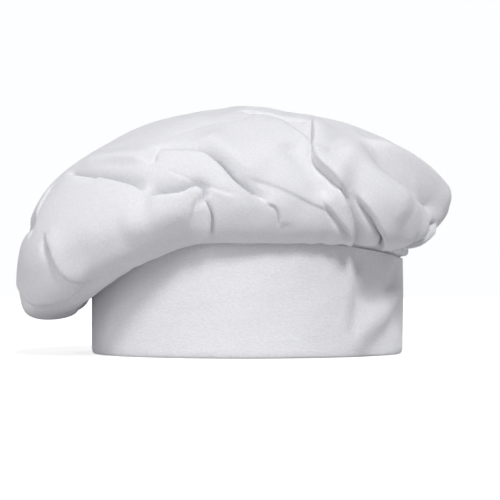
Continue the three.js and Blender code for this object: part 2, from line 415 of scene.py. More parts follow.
# ---- The band's sag, as in the CAD ----
SAG_SHARE = 0.12
SAG_BEARING = -10.0
SAG_NARROWNESS = 4


def sag_at(bearings):
    towards = np.maximum(0, np.cos(np.radians(bearings - SAG_BEARING)))
    return 1 - SAG_SHARE * towards**SAG_NARROWNESS


# ---- Crown ----
CROWN_FLAT_RADIUS = 226.0
CROWN_THICKNESS = 0.7
HEM_BOTTOM = 58.0
APEX = (-12.0, 152.5)
CENTRE_REACH = 0.3  # share of the way out at which the crown is round about the head's axis
NECK_OUT, NECK_RISE = 3.4, 3.0  # where the cloth turns down into the band, from the slot and the band's top
ENTRY_RISE = 1.2

# Bearing, then radius and height of the lowest fold, of the turn below the widest point, of the widest point,
# of the shoulder and of the slope above it.
CROWN_STATIONS = [
    (0, (98, 66), (111, 75), (123, 91), (110, 115), (64, 138.5)),
    (30, (101, 70), (112, 77), (121.5, 94), (109, 117), (60, 140)),
    (60, (102, 71), (111, 77), (119.5, 93), (104, 118), (60, 140)),
    (90, (103, 71), (111, 76), (119, 92), (103, 118), (60, 140)),
    (120, (104, 68), (114, 73), (122, 90), (106, 116), (62, 139)),
    (150, (106, 49), (122, 53), (131, 72), (117, 107), (70, 135)),
    (180, (107, 26), (134, 27.5), (138, 42), (126, 93), (80, 131)),
    (208, (107, 32.5), (134, 34.5), (139, 49), (125.5, 96), (77, 132)),
    (232, (103, 51.5), (123, 54.5), (129, 66), (116, 104), (69, 136)),
    (252, (99.5, 64), (108, 66.5), (116, 79), (107, 110), (63, 139)),
    (270, (99, 65), (104.5, 68.5), (111.5, 82), (106, 111), (60, 142)),
    (295, (99, 65), (105.5, 69), (113, 84), (107, 113), (60, 142)),
    (315, (99, 64.5), (114, 67.5), (120.5, 81), (109, 114), (60, 142)),
    (330, (98.5, 64.5), (113.5, 69), (122, 85), (109.5, 114), (60, 141.5)),
]


class Cloth:
    """A round cloth on a square grid of cells: each point's bearing and its share of the way to the edge."""

    def __init__(self, cells):
        side = np.linspace(-1, 1, cells + 1)
        a, b = np.meshgrid(side, side, indexing="ij")
        wide = np.abs(a) >= np.abs(b)
        with np.errstate(divide="ignore", invalid="ignore"):
            turn = np.where(wide, np.pi / 4 * b / a, np.pi / 2 - np.pi / 4 * a / b)
        turn = np.nan_to_num(turn)
        radius = np.where(wide, a, b)
        flat = np.stack([radius * np.cos(turn), radius * np.sin(turn)], axis=-1).reshape(-1, 2)
        self.cells = cells
        self.share = np.linalg.norm(flat, axis=1)
        self.bearing = np.degrees(np.arctan2(flat[:, 1], flat[:, 0]))
        index = np.arange((cells + 1) ** 2).reshape(cells + 1, cells + 1)
        self.quads = np.stack(
            [index[:-1, :-1], index[1:, :-1], index[1:, 1:], index[:-1, 1:]], axis=-1
        ).reshape(-1, 4)


def crown_place(bearing, share):
    """Where a point is on the smooth crown, before its folds; share is how far out to its edge it lies."""
    stations = np.array([s[0] for s in CROWN_STATIONS], float)
    places = np.array([s[1:] for s in CROWN_STATIONS], float)
    rows = around(bearing, stations, places)
    sag = sag_at(bearing)
    edge = BAND_HEIGHT * sag
    count = len(bearing)

    def ring(radius, height):
        return np.stack([np.broadcast_to(radius, count), np.broadcast_to(height, count)], axis=1)[:, None]

    lines = np.concatenate(
        [
            ring(0.0, APEX[1]),
            rows[:, ::-1],
            ring(SLOT_RADIUS + NECK_OUT, edge + NECK_RISE),
            ring(SLOT_RADIUS, edge + ENTRY_RISE),
            ring(SLOT_RADIUS, HEM_BOTTOM * sag),
        ],
        axis=1,
    )
    spot = along(lines, share)
    angle = np.radians(bearing)
    centre = APEX[0] * (1 - smoothstep(0, CENTRE_REACH, share))
    x = centre + spot[:, 0] * np.cos(angle)
    return np.stack([x, spot[:, 0] * np.sin(angle), spot[:, 1]], axis=1)


def crown_normal(bearing, share):
    """Which way the smooth crown faces, from its slopes to either side of a point."""
    outwards = crown_place(bearing, share + 0.01) - crown_place(bearing, share - 0.01)
    onwards = crown_place(bearing + 1, share) - crown_place(bearing - 1, share)
    return unit(np.cross(outwards, onwards))


# A fold runs through points given by bearing and share. Then come the height by which it lifts the cloth on
# the left of its course and the reach within which that fades, and the same for its right. Two unlike heights
# make the edge of a fold that lies over its neighbour. Two equal ones make a ridge or, below 0, a crease. A
# pair in place of a number is for the fold's start and its end.
FRONT_FOLDS = [
    # The notch between the top of the crown and the lobe, and the edge where the lobe's end tucks under.
    ([(205, 0.435), (219, 0.50), (229, 0.56), (237, 0.615), (243, 0.665)], ((-9, -5), (3, 8)), (0.8, 14)),
    ([(209, 0.41), (222, 0.455), (234, 0.51), (241, 0.55)], (2.2, 9), (2.2, 3.5)),
    ([(242, 0.68), (248, 0.71), (252, 0.723), (256, 0.72), (258.5, 0.755)], ((-8, -5), (9, 4)), (2.0, 10)),
    ([(258, 0.745), (259.5, 0.80), (258.5, 0.87)], (-2.2, 2.5), (1.2, 7)),
    ([(236, 0.72), (247, 0.76), (255, 0.77)], (1.5, 9), (1.5, 9)),
    # The peak, the fold that runs from it down to the front roll, and the light creases beside it.
    (
        [(240, 0.49), (249, 0.57), (256, 0.602), (260, 0.64), (268, 0.725), (276, 0.768)],
        ((-5, -7), (6, 3.5)),
        (1.5, 16),
    ),
    ([(251, 0.50), (258, 0.53), (265, 0.60), (275, 0.70)], (1.5, 8), (1.5, 5)),
    ([(275, 0.765), (278, 0.775), (279.5, 0.80), (280, 0.84)], (0.7, 6), (-0.8, 1.5)),
    ([(241, 0.485), (241, 0.53), (243, 0.58)], (-1.6, 1.5), (-1.6, 3)),
    ([(246, 0.62), (252, 0.67), (258, 0.71), (269, 0.755)], (-0.7, 1.2), (0.4, 3)),
    ([(268, 0.68), (277.5, 0.714), (289, 0.767), (298, 0.805)], (0.4, 10), (-0.4, 7)),
    ([(241.5, 0.485), (243, 0.445), (250, 0.42), (268, 0.42), (274, 0.32)], (-0.9, 6), (0.4, 9)),
    ([(264, 0.29), (280, 0.35), (290, 0.385), (301, 0.40)], (0.5, 3), (-1, 3)),
    # The folds that fan out from the top right.
    ([(284, 0.385), (286.5, 0.465), (291, 0.555), (292, 0.61)], (-3, 12), (0.8, 10)),
    ([(302, 0.38), (295, 0.51), (291.5, 0.63), (296.5, 0.70), (301, 0.755)], (3, 9), (-2, (2.5, 4))),
    ([(296.5, 0.70), (299, 0.765), (301.5, 0.815), (303.5, 0.855), (306, 0.93)], ((-1, -5), 6), (1.2, 2)),
    ([(301, 0.72), (306, 0.77), (311.5, 0.825), (317, 0.875), (322, 0.935)], ((1, 2), 6), ((-2, -7), 3.5)),
    ([(283, 0.54), (288, 0.65), (291, 0.71), (294, 0.76)], (-2, (9, 5)), (-2, (9, 5))),
    ([(291, 0.745), (297, 0.81), (302, 0.86), (305, 0.895)], (0.6, 3), ((-0.8, -3), 3)),
    # The bulge at the right, the valley round it and the rim behind them.
    ([(309, 0.55), (317, 0.63), (327, 0.69), (335, 0.745), (338, 0.80)], ((-3, -6.5), 11), ((-3, -6.5), 9)),
    ([(299, 0.56), (310, 0.67), (322, 0.755)], (3, 17), (3, 15)),
    ([(336, 0.79), (330, 0.83), (326, 0.87), (325, 0.93)], (-8, 6), (2, 8)),
    ([(315, 0.50), (330, 0.585), (342, 0.68), (347, 0.75)], (4, 7), (4, 7)),
    ([(341, 0.79), (339, 0.835), (335, 0.88), (334, 0.93)], (3, 6), (-7, 5)),
    ([(322, 0.44), (338, 0.50), (348, 0.56), (356, 0.63)], (-5, 13), (-5, 13)),
    # The lobe.
    ([(212, 0.60), (216.5, 0.655), (218.5, 0.71), (221, 0.75), (226, 0.79)], (1.5, 8), (-4.5, 5)),
    ([(188, 0.64), (195, 0.67), (204, 0.725), (212, 0.757), (223, 0.785)], (1.2, 7), (-2.5, 7)),
    ([(178, 0.56), (190, 0.545), (198, 0.545), (205, 0.57)], (-2.5, 5), (-2.5, 5)),
    ([(202, 0.45), (201, 0.53), (204, 0.60)], (-0.8, 4), (0.4, 6)),
]
# The same for the back, the top and the sides.
BACK_FOLDS = [
    ([(62, 0.93), (58, 0.80), (50, 0.62), (40, 0.42)], (2.5, 9), (-2, (2.5, 6))),
    ([(79, 0.93), (82, 0.78), (94, 0.60), (118, 0.45)], (-1.5, (3, 7)), (2.2, 9)),
    ([(106, 0.93), (112, 0.80), (124, 0.66), (134, 0.50)], (2, 8), (-2, (2.5, 7))),
    ([(140, 0.93), (146, 0.80), (160, 0.66), (168, 0.48)], (2, 9), (-2.5, (3, 7))),
    ([(35, 0.93), (32, 0.80), (24, 0.66), (12, 0.52)], (2, 8), (-2, (2.5, 6))),
    ([(8, 0.93), (6, 0.82), (1, 0.72)], (1.5, 6), (-2, (2.5, 5))),
    ([(165, 0.90), (172, 0.76), (180, 0.62)], (-3, 6), (1.5, 8)),
    ([(20, 0.30), (50, 0.36), (85, 0.34), (115, 0.40)], (1.5, 10), (-1.5, 8)),
    ([(150, 0.25), (165, 0.38), (178, 0.50)], (-2, 8), (1.5, 8)),
]
FRONT_GAIN, BACK_GAIN = 1.5, 0.9  # what the heights of these folds are multiplied by
FOLD_STEP = 0.5  # between the points of a fold's course
FOLD_EDGE = 0.8  # half the width of the step between a fold's two sides
FOLD_LEAN = 0.25  # how far the higher side leans over the lower one, as a share of the step
END_REACH = 4.0  # how far a fold goes on past its ends, and how wide its lean is
FOLD_START = (-0.02, 0.22)  # between these shares of its course a fold rises
FOLD_END = (0.8, 1.02)  # and between these it fades, unless it runs into the band
FACING = (0, 0.4)  # cloth that faces away from the fold's own place doesn't move
REACHES = 2.5  # beyond this many reaches a fold moves nothing
BLOCK = 4000  # points looked at together
INTO_BAND = 0.9  # share of the way out past which a fold's course runs into the band
FOLDS_END = (0.89, 0.94)  # share of the way out between which all folds fade
DEGREE_ON_CROWN = 1.8  # about what a degree measures on the crown


def smooth_line(points):
    """A curve through the points, with a point about every step of a fold's course."""
    line = np.array(points, float)
    count = max(4, int(lengths_along(line)[-1] / FOLD_STEP))
    shares = np.linspace(0, 1, count)
    return along(np.repeat(line[None], count, axis=0), shares)


def course_of(points):
    """A fold's course over the crown, and the crown's normals along it."""
    scale = np.array([DEGREE_ON_CROWN, CROWN_FLAT_RADIUS])
    line = smooth_line(np.array(points, float) * scale) / scale
    return crown_place(line[:, 0], line[:, 1]), crown_normal(line[:, 0], line[:, 1])


def between(given, share):
    """A number that may be given as a pair, for the start and the end, at a share of the way between."""
    start, end = given if isinstance(given, tuple) else (given, given)
    return start + (end - start) * share


def fold_shift(points, normals, course, course_normals, left, right, into_band, half_step=FOLD_EDGE):
    """How far one fold moves each point."""
    widest = REACHES * max(np.max(left[1]), np.max(right[1]))
    low, high = course.min(0) - widest, course.max(0) + widest
    near = np.flatnonzero(np.all((points > low) & (points < high), axis=1))
    shift = np.zeros_like(points)
    if not len(near):
        return shift
    nearest = np.empty(len(near), int)
    for block in np.array_split(np.arange(len(near)), max(1, len(near) // BLOCK)):
        away = points[near[block], None] - course[None]
        nearest[block] = (away**2).sum(2).argmin(1)
    away = points[near] - course[nearest]
    onwards = unit(np.gradient(course, axis=0))
    to_left = unit(np.cross(course_normals, onwards))[nearest]
    aside = (away * to_left).sum(1)
    past = (away * onwards[nearest]).sum(1)
    share = nearest / (len(course) - 1)
    fade = smoothstep(*FOLD_START, share) * np.exp(-((past / END_REACH) ** 2))
    if not into_band:
        fade *= 1 - smoothstep(*FOLD_END, share)
    fade *= smoothstep(*FACING, (normals[near] * course_normals[nearest]).sum(1))
    on_left = smoothstep(-half_step, half_step, aside)
    left_height, left_reach = (between(given, share) for given in left)
    right_height, right_reach = (between(given, share) for given in right)
    left_lift = left_height * np.exp(-((aside / left_reach) ** 2))
    right_lift = right_height * np.exp(-((aside / right_reach) ** 2))
    lift = (left_lift * on_left + right_lift * (1 - on_left)) * fade
    step = left_height - right_height
    upper = np.where(step > 0, on_left, 1 - on_left)
    lean = -FOLD_LEAN * step * upper * np.exp(-((aside / END_REACH) ** 2)) * fade
    shift[near] = normals[near] * lift[:, None] + to_left * lean[:, None]
    return shift


def add_folds(points, cloth, folds, gain):
    normals = point_normals(points, cloth.quads)
    shift = np.zeros_like(points)
    for line, left, right in folds:
        into_band = line[-1][1] > INTO_BAND
        shift += gain * fold_shift(points, normals, *course_of(line), left, right, into_band)
    return points + shift * (1 - smoothstep(*FOLDS_END, cloth.share))[:, None]


PLEATS = 30
PLEAT_SWAY = 0.5  # how unevenly the pleats are spaced, in pleats
PLEAT_LEAN = 0.6  # how far a pleat leans sideways, as a share of its depth
PLEATS_SET_IN = (2.5, 7)  # degrees to either side of the back, clear of the slit
PLEATS_RISE = (0.62, 0.92)  # share of the way out between which the pleats deepen
PLEATS_END = (0.935, 0.96)  # and between which they lie flat again, inside the band
# Bearing, then how deep the pleats are there each way. At the front, the cloth rolls over them.
PLEAT_DEPTHS = [
    (0, 1.7),
    (30, 3.4),
    (90, 3.2),
    (150, 3.4),
    (180, 2),
    (205, 0.4),
    (245, 0.2),
    (290, 0.3),
    (335, 1),
]


def add_pleats(points, cloth):
    """Knife pleats that start in the band and open out over the crown."""
    normals = point_normals(points, cloth.quads)
    angle = np.radians(cloth.bearing)
    sway = np.sin(3 * angle + 1) + 0.8 * np.sin(7 * angle + 2.4) + 0.6 * np.sin(11 * angle)
    phase = PLEATS * angle + 2 * np.pi * PLEAT_SWAY * sway
    stations = np.array(PLEAT_DEPTHS, float)
    depth = around(cloth.bearing, stations[:, 0], stations[:, 1:])[:, 0]
    depth *= 0.75 + 0.25 * np.sin(5 * angle + 0.7 * sway)
    depth *= smoothstep(*PLEATS_SET_IN, np.abs(np.mod(cloth.bearing, 360) - BACK))
    depth *= smoothstep(*PLEATS_RISE, cloth.share) * (1 - smoothstep(*PLEATS_END, cloth.share))
    sideways = np.stack([-np.sin(angle), np.cos(angle), np.zeros(len(angle))], axis=1)
    lift = normals * (depth * np.cos(phase))[:, None]
    return points + lift + sideways * (PLEAT_LEAN * depth * np.sin(phase))[:, None]


def smoothed(points, quads, rounds):
    """The points, each drawn towards the middle of its neighbours; the cloth's edge stays."""
    sides = np.concatenate([quads[:, [0, 1]], quads[:, [1, 2]], quads[:, [2, 3]], quads[:, [3, 0]]])
    sides = np.unique(np.sort(sides, axis=1), axis=0)
    count = np.bincount(sides.ravel(), minlength=len(points))
    inner = (count == 4)[:, None]
    for _ in range(rounds):
        total = np.zeros_like(points)
        np.add.at(total, sides[:, 0], points[sides[:, 1]])
        np.add.at(total, sides[:, 1], points[sides[:, 0]])
        points = np.where(inner, (points + total / count[:, None]) / 2, points)
    return points


def finer(coarse, cloth, fine):
    """Values on one cloth's grid, carried smoothly to a finer grid of the same cloth."""
    at = np.linspace(0, cloth.cells, fine.cells + 1)
    i = np.minimum(at.astype(int), cloth.cells - 1)
    t = at - i
    weights = np.zeros((fine.cells + 1, cloth.cells + 1))
    row = np.arange(fine.cells + 1)
    for step, weight in (
        (-1, -0.5 * t + t**2 - 0.5 * t**3),
        (0, 1 - 2.5 * t**2 + 1.5 * t**3),
        (1, 0.5 * t + 2 * t**2 - 1.5 * t**3),
        (2, -0.5 * t**2 + 0.5 * t**3),
    ):
        np.add.at(weights, (row, np.clip(i + step, 0, cloth.cells)), weight)
    side = cloth.cells + 1
    values = coarse.reshape(side, side, -1)
    values = np.einsum("ai,ijk->ajk", weights, values)
    return np.einsum("bj,ajk->abk", weights, values).reshape(-1, coarse.shape[1])


COARSE_CELLS, FINE_CELLS = 96, 420  # along each side of the cloth's grid: to settle it, and to show it
SETTLE_FRAMES = 24
HEM_SHARE = 0.9  # share of the way out from which the cloth is held fast
HOLD = 0.25  # how firmly the rest of it is held to its shape
BENDING = 40
GROWTH = 0.017  # how much the cloth grows, so that it buckles
GRAVITY = 0.3
PRESSURE = 0.3
SETTLED_ROUNDS = 8  # of smoothing what the settling moves
FOLDED_ROUNDS = 1  # of smoothing the folded shape
HEM_HELD = (0.91, 0.945)  # share of the way out between which the cloth comes to follow the band


def settle(points, cloth):
    """Lets the cloth hang and buckle a little round the shape that it is given, by cloth simulation."""
    shape = bpy.data.objects.new("settling", smooth_mesh("settling", points, cloth.quads))
    bpy.context.collection.objects.link(shape)
    held = shape.vertex_groups.new(name="held")
    held.add(np.flatnonzero(cloth.share >= HEM_SHARE).tolist(), 1.0, "REPLACE")
    held.add(np.flatnonzero(cloth.share < HEM_SHARE).tolist(), HOLD, "REPLACE")
    modifier = shape.modifiers.new("cloth", "CLOTH")
    settings = modifier.settings
    settings.quality = 6
    settings.mass = 0.15
    settings.tension_stiffness = 20
    settings.compression_stiffness = 20
    settings.shear_stiffness = 8
    settings.bending_stiffness = BENDING
    settings.air_damping = 2
    settings.shrink_min = -GROWTH
    settings.shrink_max = -GROWTH
    settings.vertex_group_mass = "held"
    settings.pin_stiffness = 1
    settings.effector_weights.gravity = GRAVITY
    settings.use_pressure = True
    settings.uniform_pressure_force = PRESSURE
    modifier.collision_settings.use_collision = False
    modifier.collision_settings.use_self_collision = True
    modifier.collision_settings.self_distance_min = 0.0012
    modifier.point_cache.frame_start = 1
    modifier.point_cache.frame_end = SETTLE_FRAMES
    scene = bpy.context.scene
    for number in range(1, SETTLE_FRAMES + 1):
        scene.frame_set(number)
    result = shape.evaluated_get(bpy.context.evaluated_depsgraph_get()).to_mesh()
    moved = np.zeros(len(points) * 3)
    result.vertices.foreach_get("co", moved)
    scene.frame_set(1)
    bpy.data.objects.remove(shape)
    return moved.reshape(-1, 3) / MM


def hem_with_band(points, cloth):
    """The cloth's edge, sewn into the band, goes where the band's buckles take it."""
    held = smoothstep(*HEM_HELD, cloth.share)
    hem = np.flatnonzero(held > 0)
    shift = band_shift(cloth.bearing[hem], np.minimum(points[hem, 2], BAND_HEIGHT))
    moved = points.copy()
    moved[hem] += shift * held[hem, None]
    return moved


def crown_shape(cloth):
    points = add_pleats(crown_place(cloth.bearing, cloth.share), cloth)
    points = add_folds(points, cloth, FRONT_FOLDS, FRONT_GAIN)
    points = add_folds(points, cloth, BACK_FOLDS, BACK_GAIN)
    return hem_with_band(points, cloth)


def settling_of(coarse, cloth):
    start = crown_shape(coarse)
    moved = smoothed(settle(start, coarse) - start, coarse.quads, SETTLED_ROUNDS)
    return finer(moved, coarse, cloth)


def build_crown(material):
    """The crown; returns its surface, for what is sewn to it."""
    cloth = Cloth(FINE_CELLS)
    settling = settling_of(Cloth(COARSE_CELLS), cloth)
    points = smoothed(crown_shape(cloth), cloth.quads, FOLDED_ROUNDS) + settling
    flat = on_circle(CROWN_FLAT_RADIUS * cloth.share, cloth.bearing, 0.0)[:, :2]
    mesh = smooth_mesh("crown_cloth", points, cloth.quads, flat)
    open_slit(mesh)
    crown = piece_of(mesh, material, "hat", ["crown"])
    thicken(crown, CROWN_THICKNESS)
    return BVHTree.FromPolygons([Vector(p) for p in points], cloth.quads.tolist())


# ---- The slit in the crown above the band's gap ----
SLIT_HALF = 3.3
SLIT_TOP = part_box("slit_binding")[1][2] / MM
BEHIND = 60.0  # the crown's back is further back than this
SLIT_SURROUND = 8.0  # to either side of the middle, where the cuts are made
BINDING_WIDTH = 3.8
BINDING_THICKNESS = 1.9
BINDING_CLOTH = 0.4
BINDING_PAST = 0.9  # how far its fold stands past the cut edge
BINDING_CORNER = 2.6
BINDING_IN_BAND = 6.0  # how far it goes down between the band's layers
CLEAR_OF_BAND = 2.5  # from this far above the band on, it follows the crown
BINDING_ROUNDS = 6  # of evening out its course


def back_faces(shape, half_width, top):
    """The faces at the crown's back that lie within a width to either side of its middle, below a height."""
    found = []
    for face in shape.faces:
        middle = face.calc_center_median() / MM
        if middle.y > BEHIND and abs(middle.x) < half_width and middle.z < top:
            found.append(face)
    return found


def open_slit(mesh):
    """Cuts the crown at the middle of its back, from the hem up to the slit's top."""
    shape = bmesh.new()
    shape.from_mesh(mesh)
    for place, normal in (
        ((SLIT_HALF, 0, 0), (1, 0, 0)),
        ((-SLIT_HALF, 0, 0), (1, 0, 0)),
        ((0, 0, SLIT_TOP), (0, 0, 1)),
    ):
        near = back_faces(shape, SLIT_SURROUND, math.inf)
        corners = {v for face in near for v in face.verts}
        sides = {e for face in near for e in face.edges}
        geometry = [*near, *corners, *sides]
        bmesh.ops.bisect_plane(shape, geom=geometry, plane_co=Vector(place) * MM, plane_no=normal)
    bmesh.ops.delete(shape, geom=back_faces(shape, SLIT_HALF, SLIT_TOP), context="FACES")
    shape.to_mesh(mesh)
    shape.free()


def back_of_crown(tree, x, z):
    """Where the crown's outside is at the back, and its normal there."""
    hit, normal, _, _ = tree.ray_cast(Vector((x, 300, z)), Vector((0, -1, 0)))
    if normal.y < 0:
        normal = -normal
    return np.array(hit), np.array(normal)


def binding_path():
    """The middle of the tape seen from behind, as [x, z], up one side of the slit and down the other."""
    half = SLIT_HALF + BINDING_WIDTH / 2 - BINDING_PAST
    top = SLIT_TOP + BINDING_WIDTH / 2 - BINDING_PAST
    turn_start = top - BINDING_CORNER
    side = [(-half, z) for z in np.linspace(BAND_HEIGHT - BINDING_IN_BAND, turn_start, 30)]
    turn = np.radians(np.linspace(0, 90, 8))[1:]
    corner = zip(-half + BINDING_CORNER * (1 - np.cos(turn)), turn_start + BINDING_CORNER * np.sin(turn))
    up = np.array([*side, *corner])
    return np.concatenate([up, (up * (-1, 1))[::-1]])


def binding_section():
    """The folded tape's section, as [aside, outwards], along one leg, round the fold and along the other."""
    half = (BINDING_THICKNESS - BINDING_CLOTH) / 2
    angle = np.radians(np.linspace(90, -90, 11))
    leg = np.linspace(-BINDING_WIDTH / 2, BINDING_WIDTH / 2 - half, 5)
    outer = [(aside, half) for aside in leg[:-1]]
    fold = zip(leg[-1] + half * np.cos(angle), half * np.sin(angle))
    inner = [(aside, -half) for aside in leg[-2::-1]]
    return np.array([*outer, *fold, *inner])


def build_slit_binding(material, tree):
    """Tape folded over the slit's edges, up one side, across the top and down the other."""
    path = binding_path()
    clear = BAND_HEIGHT + CLEAR_OF_BAND
    found = [back_of_crown(tree, x, max(z, clear)) for x, z in path]
    places, normals = (np.array(each) for each in zip(*found))
    below = path[:, 1] < clear
    places[below, 1] = SLOT_RADIUS
    normals[below] = (0, 1, 0)
    places[:, 2] = path[:, 1]
    for _ in range(BINDING_ROUNDS):
        places[1:-1, 1] = (places[:-2, 1] + places[2:, 1]) / 2
        normals[1:-1] = unit(normals[:-2] + normals[2:])
    onwards = unit(np.gradient(places, axis=0))
    aside = unit(np.cross(normals, onwards))
    outwards = np.cross(onwards, aside)
    section = binding_section()
    points = places[:, None] + aside[:, None] * section[:, :1] + outwards[:, None] * section[:, 1:]
    reach = lengths_along(places)
    flat = np.stack(grid_of(reach, lengths_along(section)), axis=-1)
    binding = piece_of(
        grid_mesh("slit_binding_tape", points, flat), material, "hat", ["slit_binding"]
    )
    thicken(binding, BINDING_CLOTH)


# ---- Stitches ----
STITCH_LENGTH = 2.5
STITCH_GAP = 0.7
THREAD_RADIUS = 0.24
THREAD_SIDES = 7
THREAD_RINGS = 7
THREAD_SIDE = 0.2  # about what one of its sides measures


def stitches(
    name,
    lines,
    material,
    body,
    replaced,
    length=STITCH_LENGTH,
    gap=STITCH_GAP,
    radius=THREAD_RADIUS,
):
    """Stitches along lines, each line given as points and the cloth's normals there. Their ends dive in."""
    share = np.linspace(0, 1, THREAD_RINGS)
    angle = np.linspace(0, 2 * np.pi, THREAD_SIDES, endpoint=False)[:, None]
    rise = radius * (1.1 * np.sin(np.pi * share) ** 0.5 - 0.5)
    size = radius * (0.15 + 0.85 * np.sin(np.pi * share) ** 0.4)
    threads = []
    for points, normals in lines:
        reach = lengths_along(points)
        count = max(1, round(reach[-1] / (length + gap)))
        pitch = reach[-1] / count
        starts = np.arange(count) * pitch + gap / 2
        at = starts[:, None] + share[None] * (pitch - gap)
        middle = np.stack([np.interp(at, reach, points[:, i]) for i in range(3)], axis=-1)
        out = unit(np.stack([np.interp(at, reach, normals[:, i]) for i in range(3)], axis=-1))
        aside = np.cross(unit(np.gradient(middle, axis=1)), out)
        middle = middle + out * rise[:, None]
        ring = aside[:, :, None] * np.cos(angle) + out[:, :, None] * np.sin(angle)
        threads.append((middle[:, :, None] + ring * size[:, None, None]).reshape(-1, 3))
    points = np.concatenate(threads)
    each = THREAD_RINGS * THREAD_SIDES
    count = len(points) // each
    quads = repeated(grid_quads(THREAD_RINGS, THREAD_SIDES, True), each, count)
    flat = grid_of(np.linspace(0, length, THREAD_RINGS), np.arange(THREAD_SIDES) * THREAD_SIDE)
    flat = np.tile(np.stack(flat, axis=-1).reshape(-1, 2), (count, 1))
    return piece_of(smooth_mesh(name, points, quads, flat), material, body, replaced)


def arc_line(radius, start, end, height):
    """A line along the hat's round face, with a point about every millimetre, and its normals."""
    bearing = np.linspace(start, end, max(2, int(abs(np.radians(end - start)) * radius)))
    return on_circle(radius, bearing, height), on_circle(1.0, bearing, 0.0)


def upright_line(radius, bearing, low, high):
    height = np.linspace(low, high, max(2, int(abs(high - low))))
    return on_circle(radius, bearing, height), on_circle(1.0, bearing, 0.0 * height)


def box_lines(radius, start, end, low, high):
    """The four sides of a box of stitches."""
    return [
        arc_line(radius, start, end, low),
        upright_line(radius, end, low, high),
        arc_line(radius, end, start, high),
        upright_line(radius, start, high, low),
    ]


# ---- Headband ----
CLOTH = 0.4  # one thickness of the band's cotton
INTERFACING_THICKNESS = 0.5
SEAM_DROP = 3.0  # from the band's top down to the seam's stitches
SEAM_START = 0.8  # degrees from the band's ends
BAND_MIDDLE = SLOT_RADIUS
BAND_FACE = BAND_RADIUS - BAND_MIDDLE - CLOTH / 2
BAND_GAP = 2.0  # degrees from the back to each end of the band
TURN_IN = 8.0  # of each edge, inside the band's top
BOTTOM_FOLD = 4.5  # how far up the folded bottom edge is rounded
# Folds in the stiffened band, as on the crown, but by bearing and height.
BAND_FOLDS = [
    ([(311, 66), (311, 46), (309, 26), (307, 8)], (-2.6, 15), (0.6, 9)),
    ([(303, 8), (315, 15), (328, 25), (345, 42)], (1.8, 8), (1.8, 8)),
    ([(310, -6), (322, 4), (336, 15), (352, 29)], (-3.4, 9), (-3.4, 9)),
    ([(313, 42), (322, 34), (332, 37), (341, 47)], (-3, 9), (-3, 9)),
    ([(314, 61), (325, 57), (338, 59)], (1.8, 9), (1.8, 9)),
    ([(283, 55), (296, 58), (305, 54)], (0.9, 12), (0.9, 12)),
    ([(205, 2), (214, 14), (218, 30)], (0.8, 8), (-0.8, 8)),
    ([(20, 8), (32, 26), (38, 50)], (1.0, 9), (-1.4, 9)),
    ([(152, 6), (162, 24), (165, 46)], (1.0, 9), (-1.0, 9)),
]
BAND_EDGE = 6.0  # half the width of the step between a fold's two sides, wider than in the crown's soft cloth
DEGREE_ON_BAND = 1.65  # what a degree measures round the band
FLAT_SPAN = (70.0, 146.0)  # where the band lies true, under the closure
FLAT_FADE = 16.0  # degrees within which it comes to do so
BAND_STATIONS = 420
END_PINCH = 0.3  # share of its thickness that the band has at its very ends
PINCH_REACH = 1.4  # degrees


def band_shift(bearing, height):
    """How the band's layers are bent away from a true circle, together."""
    places = on_circle(BAND_MIDDLE, bearing, height).reshape(-1, 3)
    normals = on_circle(1.0, bearing, height * 0).reshape(-1, 3)
    shift = np.zeros_like(places)
    scale = np.array([DEGREE_ON_BAND, 1])
    for line, left, right in BAND_FOLDS:
        course = smooth_line(np.array(line, float) * scale) / scale
        centre = on_circle(BAND_MIDDLE, course[:, 0], course[:, 1])
        facing = on_circle(1.0, course[:, 0], course[:, 1] * 0)
        shift += fold_shift(places, normals, centre, facing, left, right, False, BAND_EDGE)
    angle = np.radians(bearing).reshape(-1)
    z = height.reshape(-1)
    sway = 0.35 * np.sin(3 * angle + 0.9) + 0.25 * np.sin(7 * angle + z / 21)
    sway += 0.12 * np.sin(13 * angle - z / 9)
    shift += normals * sway[:, None]
    spread = bearing.reshape(-1) % 360
    start, end = FLAT_SPAN
    true = smoothstep(start - FLAT_FADE, start, spread) * smoothstep(end + FLAT_FADE, end, spread)
    shift *= 1 - true[:, None]
    return shift.reshape(*bearing.shape, 3)


def band_section():
    """The band's cloth from one turned-in edge to the other, as [distance out from its middle, height]."""
    top = BAND_HEIGHT
    turned_in = [(BAND_FACE - CLOTH, height) for height in np.linspace(top - TURN_IN, top - 0.8, 5)]
    over_top = [
        (BAND_FACE - 0.8 * CLOTH, top - 0.4),
        (BAND_FACE - CLOTH / 2, top - 0.2),
        (BAND_FACE - 0.1, top - 0.45),
    ]
    face = [(BAND_FACE, height) for height in np.arange(top - 1.0, BOTTOM_FOLD, -1.5)]
    turn = np.radians(np.linspace(0, 90, 9))[:-1]
    fold = zip(BAND_FACE * np.cos(turn) ** 0.8, BOTTOM_FOLD - (BOTTOM_FOLD - CLOTH / 2) * np.sin(turn))
    half = np.array([*turned_in, *over_top, *face, *fold])
    middle = [(0.0, CLOTH / 2)]
    return np.concatenate([half, middle, half[::-1] * (-1, 1)])


